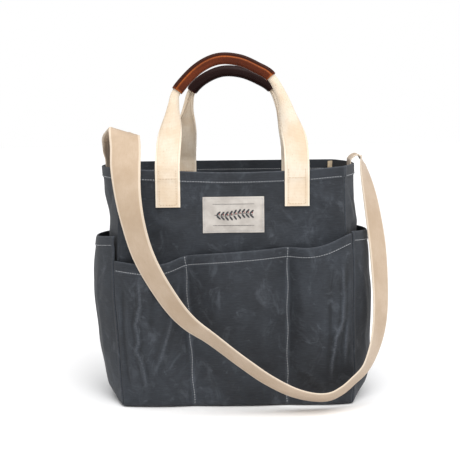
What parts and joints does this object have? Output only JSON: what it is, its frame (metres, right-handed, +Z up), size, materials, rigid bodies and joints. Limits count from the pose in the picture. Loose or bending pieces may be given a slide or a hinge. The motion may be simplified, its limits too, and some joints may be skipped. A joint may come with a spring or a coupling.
{
  "type": "garden tool bag",
  "caption": "Open canvas tool tote with outside pockets all round, two webbing carry handles with leather grips, and a webbing shoulder strap.",
  "frame": {"origin": "centre of the underside of the base, on the floor", "axes": "+Z up from the floor to the handles, -Y the front with the label, +X to the right as seen from the front"},
  "size_m": [0.402, 0.2331, 0.4663],
  "materials": {
    "canvas": "waxed canvas with chalky creases",
    "webbing": "undyed cotton webbing",
    "tape": "undyed cotton tape",
    "leather": "oiled, lightly glossy",
    "label": "woven cotton label"
  },
  "bodies": {
    "bag": {"base_panel": "canvas", "front_panel": "canvas", "back_panel": "canvas", "left_gusset": "canvas", "right_gusset": "canvas", "front_pocket": "canvas", "back_pocket": "canvas", "left_side_pocket": "canvas", "right_side_pocket": "canvas", "label": "label", "front_handle_left_outer_end": "webbing", "front_handle_left_inner_end": "webbing", "front_handle_right_outer_end": "webbing", "front_handle_right_inner_end": "webbing", "rear_handle_left_outer_end": "webbing", "rear_handle_left_inner_end": "webbing", "rear_handle_right_outer_end": "webbing", "rear_handle_right_inner_end": "webbing", "strap_left_end": "webbing", "strap_right_end": "webbing", "front_left_seam_binding": "tape", "front_right_seam_binding": "tape", "back_left_seam_binding": "tape", "back_right_seam_binding": "tape"},
    "front_handle": {"front_handle_outer_webbing": "webbing", "front_handle_inner_webbing": "webbing", "front_grip": "leather"},
    "rear_handle": {"rear_handle_outer_webbing": "webbing", "rear_handle_inner_webbing": "webbing", "rear_grip": "leather"},
    "shoulder_strap": {"shoulder_strap": "webbing"}
  },
  "joints": [
    {"name": "front_handle_fold", "type": "hinge", "parent": "bag", "child": "front_handle", "pos_m": [0, -0.08065, 0.322], "axis": [1, 0, 0], "range_deg": [-20, 140]},
    {"name": "rear_handle_fold", "type": "hinge", "parent": "bag", "child": "rear_handle", "pos_m": [0, 0.08065, 0.322], "axis": [-1, 0, 0], "range_deg": [-20, 140]},
    {"name": "strap_swing", "type": "hinge", "parent": "bag", "child": "shoulder_strap", "pos_m": [-0.143, -0.044, 0.366], "axis": [-0.9836, -0.1378, 0.1159], "range_deg": [0, 150]}
  ]
}
